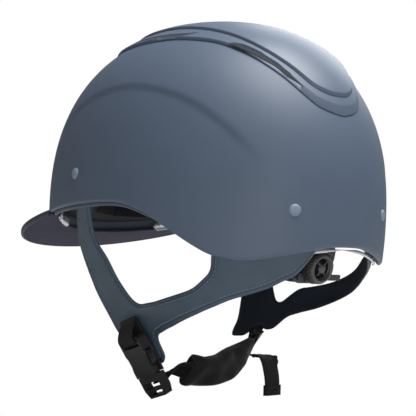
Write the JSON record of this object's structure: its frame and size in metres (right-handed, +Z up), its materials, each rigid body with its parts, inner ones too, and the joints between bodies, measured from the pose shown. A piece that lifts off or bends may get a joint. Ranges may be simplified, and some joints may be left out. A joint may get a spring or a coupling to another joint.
{
  "type": "equestrian riding helmet",
  "caption": "Riding helmet with peak, raised vented crown, foam liner, leather harness, rear dial adjuster and side-release chin buckle.",
  "frame": {"origin": "centre plane, at the level where the shell is widest, inside the head opening", "axes": "+Z up to the crown, -Y towards the peak, +X the wearer's left"},
  "size_m": [0.2164, 0.335, 0.2776],
  "materials": {
    "matt_navy_shell": "matt",
    "satin_navy_plate": "satin",
    "vent_mesh": "fine woven mesh",
    "peak_fabric": "matt",
    "navy_leather": "grained",
    "liner_foam": "satin",
    "black_lining": "brushed",
    "rivet_cap": "satin",
    "washer_steel": "satin",
    "black_webbing": "woven",
    "chin_pad_fabric": "soft knit",
    "black_plastic": "moulded"
  },
  "bodies": {
    "helmet": {"anchor_webbing_left": "black_webbing", "buckle_socket": "black_plastic", "outer_shell": "matt_navy_shell", "crown_plate_outer": "matt_navy_shell", "crown_plate_inner": "satin_navy_plate", "vent_mesh_rear_left": "vent_mesh", "vent_mesh_rear_right": "vent_mesh", "vent_mesh_front_left": "vent_mesh", "vent_mesh_front_right": "vent_mesh", "peak_shell": "matt_navy_shell", "peak_lining": "peak_fabric", "rim_trim_left": "navy_leather", "rim_trim_right": "navy_leather", "foam_liner": "liner_foam", "headband_pad": "black_lining", "crown_pad": "black_lining", "rivet_rear_left": "rivet_cap", "anchor_washer_rear_left": "washer_steel", "rivet_rear_right": "rivet_cap", "anchor_washer_rear_right": "washer_steel", "rivet_front_left": "rivet_cap", "anchor_washer_front_left": "washer_steel", "rivet_front_right": "rivet_cap", "anchor_washer_front_right": "washer_steel", "harness_left": "navy_leather", "harness_right": "navy_leather", "chin_webbing": "black_webbing", "chin_pad": "chin_pad_fabric", "strap_slider": "black_plastic", "strap_tail": "black_webbing", "tail_hem": "black_webbing"},
    "cradle": {"cradle_plate": "black_plastic", "nape_pad": "black_lining", "dial_housing": "black_plastic"},
    "dial": {"dial_knob": "black_plastic", "dial_pinion": "black_plastic"},
    "band_left": {"size_band_left": "black_plastic"},
    "band_right": {"size_band_right": "black_plastic"},
    "plug": {"buckle_plug": "black_plastic"},
    "arm_front": {"release_arm_front": "black_plastic"},
    "arm_rear": {"release_arm_rear": "black_plastic"}
  },
  "joints": [
    {"name": "cradle_tilt", "type": "hinge", "parent": "helmet", "child": "cradle", "pos_m": [0, 0.10472, -0.02084], "axis": [1, 0, 0], "range_deg": [-8, 10]},
    {"name": "dial_turn", "type": "hinge", "parent": "cradle", "child": "dial", "pos_m": [0, 0.1015, -0.036], "axis": [0, 0.9781, -0.2079], "range_deg": [-100, 100]},
    {"name": "band_left_slide", "type": "slide", "parent": "cradle", "child": "band_left", "axis": [1, 0, 0], "range_m": [-0.0096, 0.0096]},
    {"name": "band_right_slide", "type": "slide", "parent": "cradle", "child": "band_right", "axis": [-1, 0, 0], "range_m": [-0.0096, 0.0096]},
    {"name": "buckle_pull", "type": "slide", "parent": "helmet", "child": "plug", "axis": [-0.4117, 0.2912, -0.8635], "range_m": [0, 0.022]},
    {"name": "release_front", "type": "slide", "parent": "plug", "child": "arm_front", "axis": [-0.1451, -0.9564, -0.2533], "range_m": [0, 0.0016], "stiffness_N_per_m": 900},
    {"name": "release_rear", "type": "slide", "parent": "plug", "child": "arm_rear", "axis": [0.1451, 0.9564, 0.2533], "range_m": [0, 0.0016], "stiffness_N_per_m": 900}
  ],
  "couplings": [
    {"joint": "band_left_slide", "follows": "dial_turn", "m_per_rad": 0.005},
    {"joint": "band_right_slide", "follows": "dial_turn", "m_per_rad": 0.005},
    {"joint": "release_rear", "follows": "release_front", "ratio": 1}
  ]
}
